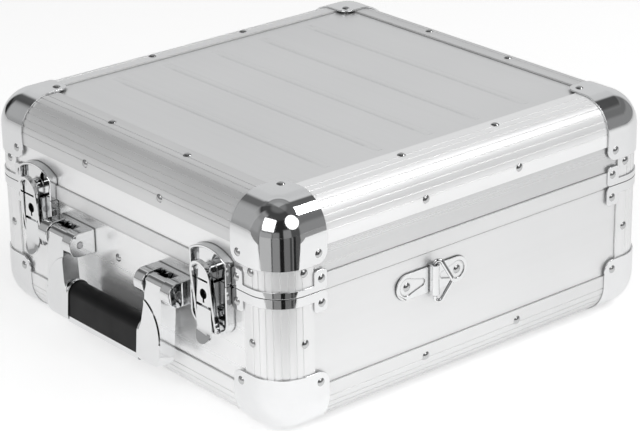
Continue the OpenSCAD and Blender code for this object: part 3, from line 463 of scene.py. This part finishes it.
def relief(m, value, strength, depth_mm):
    n, l = m.node_tree.nodes, m.node_tree.links
    bump = n.new("ShaderNodeBump")
    bump.inputs["Strength"].default_value = strength
    bump.inputs["Distance"].default_value = depth_mm * MM
    l.new(value, bump.inputs["Height"])
    shader = n["Principled BSDF"]
    if shader.inputs["Normal"].is_linked:
        l.new(shader.inputs["Normal"].links[0].from_socket, bump.inputs["Normal"])
    l.new(bump.outputs["Normal"], shader.inputs["Normal"])


print("studio materials:", len(bpy.data.materials))

# %% [markdown]
# Where one piece of metal meets the next, and at the feet of steps and ribs, the colour carries a painted
# shade: a thin dark line where shade falls. The Ambient Occlusion node says how open the surface is close
# around a point, from 0 in a closed corner to 1 on a free face. Below the closed value the painted shade is at
# its darkest, and above the clear value the colour is untouched.

# %% Painted shade where metal meets metal
OPENNESS_SAMPLES = 6


def painted_contact_shade(m, reach_mm=1.1, darkest=0.16, clear=0.86, closed=0.42):
    n, l = m.node_tree.nodes, m.node_tree.links
    near = n.new("ShaderNodeAmbientOcclusion")
    near.samples = OPENNESS_SAMPLES
    near.inputs["Distance"].default_value = reach_mm * MM
    # painted shade: the colour is darkened where the surface is closed in, where shade falls
    painted_shade = between_values(m, near.outputs["AO"], darkest, 1.0, closed, clear)
    shade = n.new("ShaderNodeMix")
    shade.data_type = "RGBA"
    shade.blend_type = "MULTIPLY"
    shade.inputs["Factor"].default_value = 1
    color = n["Principled BSDF"].inputs["Base Color"]
    l.new(color.links[0].from_socket, shade.inputs["A"])
    l.new(painted_shade, shade.inputs["B"])
    l.new(shade.outputs["Result"], color)


print("samples for the openness of a point:", OPENNESS_SAMPLES)

# %% [markdown]
# The edge profiles are anodised aluminium, satin and pale, with fine lines along their length. One finish for
# each direction keeps the lines running the right way, and each has painted light and shade in its colour:
# the tone that this side of the case has in the photograph's light, so the one aluminium is painted lighter on
# some sides and darker on others. The ribs leave narrow grooves, which are open enough to stay pale.

# %% Anodised profiles
FINE_ACROSS, SLOW_ALONG = 220, 3


def anodised(name, direction, tone, metallic=0.55):
    m = new_finish(name, (tone, tone + 0.002, tone + 0.004), metallic, 0.34)
    stretch = [FINE_ACROSS] * 3
    stretch[direction] = SLOW_ALONG
    lines = pattern(m, 1.0, stretch, detail=2, rough=0.6)
    clouds = pattern(m, 9)
    dark = (tone - 0.02, tone - 0.018, tone - 0.016)
    vary_color(m, clouds, dark, (tone + 0.02, tone + 0.022, tone + 0.024))
    vary_roughness(m, lines, 0.28, 0.44)
    relief(m, lines, 0.22, 0.05)
    painted_contact_shade(m, darkest=0.2, clear=0.30, closed=0.10)
    return m


X, Y, Z = 0, 1, 2
# painted light and shade: each profile finish has the tone that its side of the case shows in the studio light
profile_x = anodised("anodised_along_x", X, 0.93)
profile_y = anodised("anodised_along_y", Y, 0.80)
profile_z = anodised("anodised_along_z", Z, 0.88, metallic=0.70)
lid_profile_x_painted_shade = anodised("anodised_lid_along_x_painted_shade", X, 0.70)
lid_profile_right_painted_light = anodised("anodised_lid_right_painted_light", Y, 0.96)
lid_profile_left_painted_shade = anodised("anodised_lid_left_painted_shade", Y, 0.80)
print("profile finishes:", sum(m.name.startswith("anodised") for m in bpy.data.materials))

# %% [markdown]
# The panels are thin board with a satin silver facing, softer and duller than the profiles, with a barely
# visible grain. The lid's top is written darker than the walls, a painted shade for a face that looks up at
# the dark ceiling. Its painted contact shade reaches further, so that the feet of its shallow ribs, which are
# hardly closed at all, still show a soft painted shade.

# %% Panel facings
def facing(name, dark, light, direction, roughness, metallic=0.75, **lines):
    m = new_finish(name, light, metallic, roughness)
    stretch = [240, 240, 240]
    stretch[direction] = 1.2
    grain = pattern(m, 1.0, stretch, detail=2)
    mist = pattern(m, 5, detail=2)
    vary_color(m, mist, dark, light)
    vary_roughness(m, grain, roughness - 0.03, roughness + 0.05)
    relief(m, grain, 0.05, 0.03)
    relief(m, pattern(m, 1600, detail=1), 0.05, 0.02)
    painted_contact_shade(m, **lines)
    return m


# painted shade: the lid's top is darker than the walls because it faces the dark ceiling, and a wide painted
# contact shade lies along its rib feet
lid_facing_painted_shade = facing("lid_top_facing_painted_shade", (0.79, 0.793, 0.796), (0.83, 0.832, 0.834), X, 0.33,
                    reach_mm=2.2, clear=1.0, closed=0.46)
# painted shade: the side walls, and much more the lid's side strips, are written darker than the front ones,
# for the light on each side
wall_facing_x = facing("wall_facing_front", (0.91, 0.913, 0.916), (0.95, 0.952, 0.954), X, 0.24)
wall_side_painted_shade = facing("wall_facing_side_painted_shade", (0.84, 0.843, 0.846), (0.88, 0.882, 0.884), Y, 0.42, metallic=0.82)
strip_facing_x = facing("strip_facing_front", (0.94, 0.942, 0.944), (0.97, 0.972, 0.974), X, 0.30)
strip_side_painted_shade = facing("strip_facing_side_painted_shade", (0.67, 0.673, 0.676), (0.71, 0.712, 0.714), Y, 0.28)
print("facings:", sum("facing" in m.name for m in bpy.data.materials))

# %% [markdown]
# Chrome is bright nickel and chromium on pressed steel. It is never quite flat: the pressing leaves a slow
# waviness that bends reflections, and handling leaves a faint haze that a varied roughness shows. The latches
# and the strap plates are small parts stacked on each other, so their painted contact shade reaches further.

# %% Polished chrome
def chrome(name, color, wave_mm, wave_scale, smooth, dull,
           reach_mm=1.0, darkest=0.22, clear=0.80, closed=0.40):
    m = new_finish(name, color, 1.0, smooth)
    haze = pattern(m, 28, detail=4, rough=0.6)
    vary_roughness(m, haze, smooth, dull)
    relief(m, pattern(m, wave_scale, detail=1, rough=0.4), 0.5, wave_mm)
    vary_color(m, haze, tuple(0.96 * c for c in color), color)
    painted_contact_shade(m, reach_mm, darkest, clear, closed)
    return m


bright = (0.84, 0.845, 0.85)
corner_chrome = chrome("corner_chrome", (0.86, 0.865, 0.87), 0.12, 32, 0.035, 0.10)
hardware_chrome = chrome("hardware_chrome", bright, 0.05, 90, 0.04, 0.12)
latch_chrome = chrome("latch_chrome", bright, 0.06, 110, 0.03, 0.10,
                      reach_mm=2.6, darkest=0.06, clear=0.86, closed=0.42)
strap_chrome = chrome("strap_chrome", bright, 0.05, 90, 0.04, 0.12,
                      reach_mm=1.8, darkest=0.10, clear=0.95, closed=0.62)
rivet_chrome = chrome("rivet_chrome", (0.56, 0.563, 0.566), 0.02, 200, 0.14, 0.26,
                      reach_mm=1.2, darkest=0.10, clear=0.75, closed=0.45)
print("chrome finishes:", sum("chrome" in m.name for m in bpy.data.materials))

# %% [markdown]
# The small hidden and half hidden metal parts are plainer: satin nickel hinges, ground steel pins, oiled
# spring wire, and locks whose face is nearly black beside the chrome.

# %% Other metals
nickel = chrome("satin_nickel", (0.70, 0.70, 0.69), 0.04, 120, 0.22, 0.36)
steel = chrome("ground_steel", (0.58, 0.58, 0.59), 0.03, 160, 0.18, 0.30)
spring_wire = chrome("spring_wire", (0.42, 0.42, 0.43), 0.03, 300, 0.25, 0.38)
lock_metal = chrome("dark_lock_metal", (0.05, 0.05, 0.052), 0.02, 200, 0.30, 0.42)
print("metals:", len([nickel, steel, spring_wire, lock_metal]))

# %% [markdown]
# The grip is moulded black rubber, the inserts under the corners are black plastic, and the foam inside is
# charcoal: each is dark, so what tells them apart is their gloss and their surface.

# %% Rubber, plastic and foam
rubber = new_finish("grip_rubber", (0.004, 0.004, 0.0045), 0.0, 0.38, Specular_IOR_Level=0.22)
vary_roughness(rubber, pattern(rubber, 60, detail=4), 0.34, 0.5)
relief(rubber, pattern(rubber, 1400, detail=2), 0.25, 0.03)

insert_plastic = new_finish("insert_plastic", (0.02, 0.02, 0.022), 0.0, 0.5)
relief(insert_plastic, pattern(insert_plastic, 900, detail=2), 0.3, 0.04)

foam = new_finish("charcoal_foam", (0.035, 0.035, 0.038), 0.0, 0.95, Specular_IOR_Level=0.15)
cells = pattern(foam, 750, detail=4, rough=0.7)
vary_color(foam, cells, (0.018, 0.018, 0.020), (0.085, 0.085, 0.092))
relief(foam, cells, 0.9, 0.5)
print("materials:", len(bpy.data.materials))

# %% [markdown]
# Finished pieces
#
# A CAD solid has knife-sharp edges, and polished metal without a rounded edge looks like paper. Its mesh is
# also loose triangles. So each piece starts as a copy of its solid that is welded, and whose flat faces are
# joined again.

# %% Copy and weld a solid
finished = {}


def welded_copy(node, ending):
    piece = bpy.data.objects.new(node + ending, frame["nodes"][node].data.copy())
    bpy.context.scene.collection.objects.link(piece)
    select_only(piece)
    bpy.ops.object.mode_set(mode="EDIT")
    bpy.ops.mesh.select_all(action="SELECT")
    bpy.ops.mesh.remove_doubles(threshold=0.002 * MM)
    bpy.ops.mesh.dissolve_limited(angle_limit=math.radians(0.4))
    bpy.ops.object.mode_set(mode="OBJECT")
    if piece.data.has_custom_normals:
        bpy.ops.mesh.customdata_custom_splitnormals_clear()
    return piece


# %% [markdown]
# A narrow bevel rounds the real edges of the copy, smooth shading is kept wherever two faces meet at a small
# angle, and the weighted normals keep large flat faces flat beside a bevel. The copy then stands for the
# solid that it was made from and rides on its body.

# %% Round the edges of a copy
SMOOTH_BELOW = 36


def finish_piece(node, material, edge_mm, segments=2, sharper_than=32, reshape=None):
    piece = welded_copy(node, "_finished")
    if reshape:
        reshape(piece)
    if edge_mm:
        bevel = piece.modifiers.new("edges", "BEVEL")
        bevel.width = edge_mm * MM
        bevel.segments = segments
        bevel.limit_method = "ANGLE"
        bevel.angle_limit = math.radians(sharper_than)
        apply_modifier(piece, "edges")
    select_only(piece)
    bpy.ops.object.shade_smooth_by_angle(angle=math.radians(SMOOTH_BELOW))
    level = piece.modifiers.new("level_faces", "WEIGHTED_NORMAL")
    level.mode = "FACE_AREA_WITH_ANGLE"
    level.keep_sharp = True
    apply_modifier(piece, "level_faces")
    piece.data.materials.clear()
    piece.data.materials.append(material)
    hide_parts(node)
    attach(piece, frame["nodes"][node]["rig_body"])
    finished[node] = piece


print("faces are smoothed where they meet at less than", SMOOTH_BELOW, "degrees")

# %% [markdown]
# The profiles are extruded lengths of aluminium, cut square and butted under the ball corners. Their edges
# are only broken, not rounded.

# %% Profiles
BROKEN_EDGE = 0.25
for side in ("front", "back"):
    finish_piece("base_edge_" + side, profile_x, BROKEN_EDGE)
    finish_piece("lid_edge_" + side, lid_profile_x_painted_shade, BROKEN_EDGE)
for side, lid_profile in (("left", lid_profile_left_painted_shade), ("right", lid_profile_right_painted_light)):
    finish_piece("base_edge_" + side, profile_y, BROKEN_EDGE)
    finish_piece("lid_edge_" + side, lid_profile, BROKEN_EDGE)
for node, profile in (("base_corner_posts", profile_z), ("lid_corner_posts", profile_z),
                      ("base_rim", profile_y), ("lid_rim", profile_y)):
    finish_piece(node, profile, BROKEN_EDGE)
print("profiles:", len(finished))

# %% [markdown]
# The ribs in the lid are rolled into the sheet, so they are broad and shallow and fade out at their ends.
# Each rib of the copy is spread to both sides of its own middle line. Then the sheet is cut across a little
# way before the ends, and the ends are lowered nearly to the sheet, which leaves a gentle ramp.

# %% Broad ribs with fading ends
RIB_PITCH = 48.5 * MM
RIB_HEIGHT = 0.8 * MM
RIB_REACH = 3 * MM
RIB_SPREAD = 1.35
RAMP_LENGTH = 14 * MM
RAMP_FOOT = 0.08
HAIR = 0.02 * MM


def grab(piece, wanted):
    """Selects the vertices whose place passes a test, and stays in edit mode for the next operator."""
    select_only(piece)
    bpy.ops.object.mode_set(mode="EDIT")
    bpy.ops.mesh.select_mode(type="VERT")
    bpy.ops.mesh.select_all(action="DESELECT")
    bpy.ops.object.mode_set(mode="OBJECT")
    for vertex in piece.data.vertices:
        vertex.select = wanted(vertex.co)
    bpy.ops.object.mode_set(mode="EDIT")


def soften_ribs(piece):
    places = [v.co.copy() for v in piece.data.vertices]
    crest = max(p.z for p in places)
    sheet = crest - RIB_HEIGHT
    on_crest = [p.y for p in places if p.z > crest - HAIR]
    middle = (min(on_crest) + max(on_crest)) / 2
    rib_end = max(p.x for p in places if p.z > sheet + HAIR)
    for k in range(-2, 3):
        line = middle + k * RIB_PITCH
        grab(piece, lambda p: abs(p.y - line) < RIB_REACH and p.z > sheet - HAIR and abs(p.x) < rib_end + HAIR)
        bpy.ops.transform.resize(value=(1, RIB_SPREAD, 1), center_override=(0, line, sheet))
    for side in (-1, 1):
        bpy.ops.mesh.select_all(action="SELECT")
        bpy.ops.mesh.bisect(plane_co=(side * (rib_end - RAMP_LENGTH), 0, 0), plane_no=(1, 0, 0))
    grab(piece, lambda p: abs(p.x) > rib_end - HAIR and p.z > sheet + HAIR)
    bpy.ops.transform.resize(value=(1, 1, RAMP_FOOT), center_override=(0, 0, sheet))
    bpy.ops.object.mode_set(mode="OBJECT")
    print("rib ends at mm:", round(rib_end / MM, 1), "middle rib at mm:", round(middle / MM, 1))


print("ribs spread by a factor of", RIB_SPREAD)

# %% [markdown]
# The panels slide into the profiles' grooves, so only their faces show. The lid's top is bevelled at a much
# smaller angle than the rest, to round the feet of its ribs.

# %% Panels
SHEET_EDGE = 0.2
before = len(finished)
for node, surface in (("base_front_panel", wall_facing_x), ("base_back_panel", wall_facing_x),
                      ("lid_front_strip", strip_facing_x), ("lid_back_strip", strip_facing_x),
                      ("base_left_panel", wall_side_painted_shade), ("base_right_panel", wall_side_painted_shade),
                      ("lid_left_strip", strip_side_painted_shade), ("lid_right_strip", strip_side_painted_shade)):
    finish_piece(node, surface, SHEET_EDGE)
finish_piece("lid_top_panel", lid_facing_painted_shade, 0.3, sharper_than=8, reshape=soften_ribs)
finish_piece("base_floor_panel", wall_facing_x, SHEET_EDGE)
print("panels:", len(finished) - before)

# %% [markdown]
# The ball corners are deep-drawn steel with softly rolled edges, the brackets at the split are thinner, and
# the rivet heads are round already.

# %% Corners, brackets, rivets and inserts
before = len(finished)
for group, material, edge_mm, segments in (("ball_corners", corner_chrome, 0.45, 3),
                                           ("rim_brackets", hardware_chrome, 0.35, 3),
                                           ("rivets", rivet_chrome, 0, 2),
                                           ("corner_inserts", insert_plastic, 0, 2)):
    for half in ("base_", "lid_"):
        finish_piece(half + group, material, edge_mm, segments)
print("corner pieces:", len(finished) - before)

# %% [markdown]
# The handle is the roundest metal on the case: hands hold it, so its frame and its mounts get the widest
# bevels.

# %% Handle
before = len(finished)
for side in ("left", "right"):
    finish_piece("handle_mount_" + side, latch_chrome, 0.9, 3)
finish_piece("handle_frame", latch_chrome, 1.4, 4)
finish_piece("handle_grip", rubber, 0.8, 3)
finish_piece("handle_pins", steel, 0.2)
finish_piece("handle_springs", spring_wire, 0)
print("handle pieces:", len(finished) - before)

# %% [markdown]
# Each latch is a stack of stamped and cast parts: a body, a lever on it, a bail on the lever and a keeper on
# the lid. They share one chrome, and only the lock barrel is dark.

# %% Latches, locks, keepers and strap rings
before = len(finished)
for side in ("left", "right"):
    finish_piece("latch_body_" + side, latch_chrome, 0.45, 3)
    finish_piece("keeper_" + side, latch_chrome, 0.45, 3)
    finish_piece("latch_lever_" + side, latch_chrome, 0.35, 3)
    finish_piece("latch_bail_" + side, latch_chrome, 0.8, 3)
    finish_piece("latch_link_pin_" + side, steel, 0.2)
    finish_piece("lock_barrel_" + side, lock_metal, 0.15)
    finish_piece("strap_plate_" + side, strap_chrome, 0.4)
    finish_piece("strap_ring_" + side, strap_chrome, 0)
finish_piece("latch_lever_pins", steel, 0.15)
print("latch and strap pieces:", len(finished) - before)

# %% [markdown]
# The hinges at the back are satin nickel sheet, rolled round a steel pin.

# %% Hinges
for half in ("base", "lid"):
    finish_piece(half + "_hinge_leaves", nickel, 0.3)
finish_piece("hinge_pins", steel, 0.2)
print("finished pieces:", len(finished))

# %% [markdown]
# Foam
#
# The inside is lined with foam slabs. Foam is cut, not moulded, so its edges are square but never crisp, and
# its faces are slightly uneven. Each slab starts as a copy of the solid it stands for, is rounded, divided
# into small faces, and pushed inwards by a cloud texture, so that it never passes the solid's own faces.

# %% Cut foam
CLOUD_SIZE = 0.035


def foam_slab(node, edge_mm, uneven_mm, step_mm):
    piece = welded_copy(node, "_padded")
    bevel = piece.modifiers.new("edges", "BEVEL")
    bevel.width = edge_mm * MM
    bevel.segments = 3
    bevel.limit_method = "ANGLE"
    apply_modifier(piece, "edges")
    remesh = piece.modifiers.new("skin", "REMESH")
    remesh.mode = "VOXEL"
    remesh.voxel_size = step_mm * MM
    remesh.use_smooth_shade = True
    apply_modifier(piece, "skin")
    clouds = bpy.data.textures.new(node + "_clouds", "CLOUDS")
    clouds.noise_scale = CLOUD_SIZE
    push = piece.modifiers.new("uneven", "DISPLACE")
    push.texture = clouds
    push.texture_coords = "LOCAL"
    push.mid_level = 1.0
    push.strength = uneven_mm * MM
    apply_modifier(piece, "uneven")
    piece.data.materials.clear()
    piece.data.materials.append(foam)
    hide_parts(node)
    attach(piece, frame["nodes"][node]["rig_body"])
    print(node, "faces:", len(piece.data.polygons))


for node in ("base_floor_foam", "base_wall_foam", "lid_foam"):
    foam_slab(node, edge_mm=1.2, uneven_mm=0.5, step_mm=3.0)
foam_slab("row_divider", edge_mm=1.0, uneven_mm=0.3, step_mm=2.0)

# %% [markdown]
# Colour
#
# The Standard view shows each colour as it is written, so pale metal stays pale. The visual model has to
# stay inside the solids' box.

# %% Colour handling
bpy.context.scene.view_settings.view_transform = "Standard"
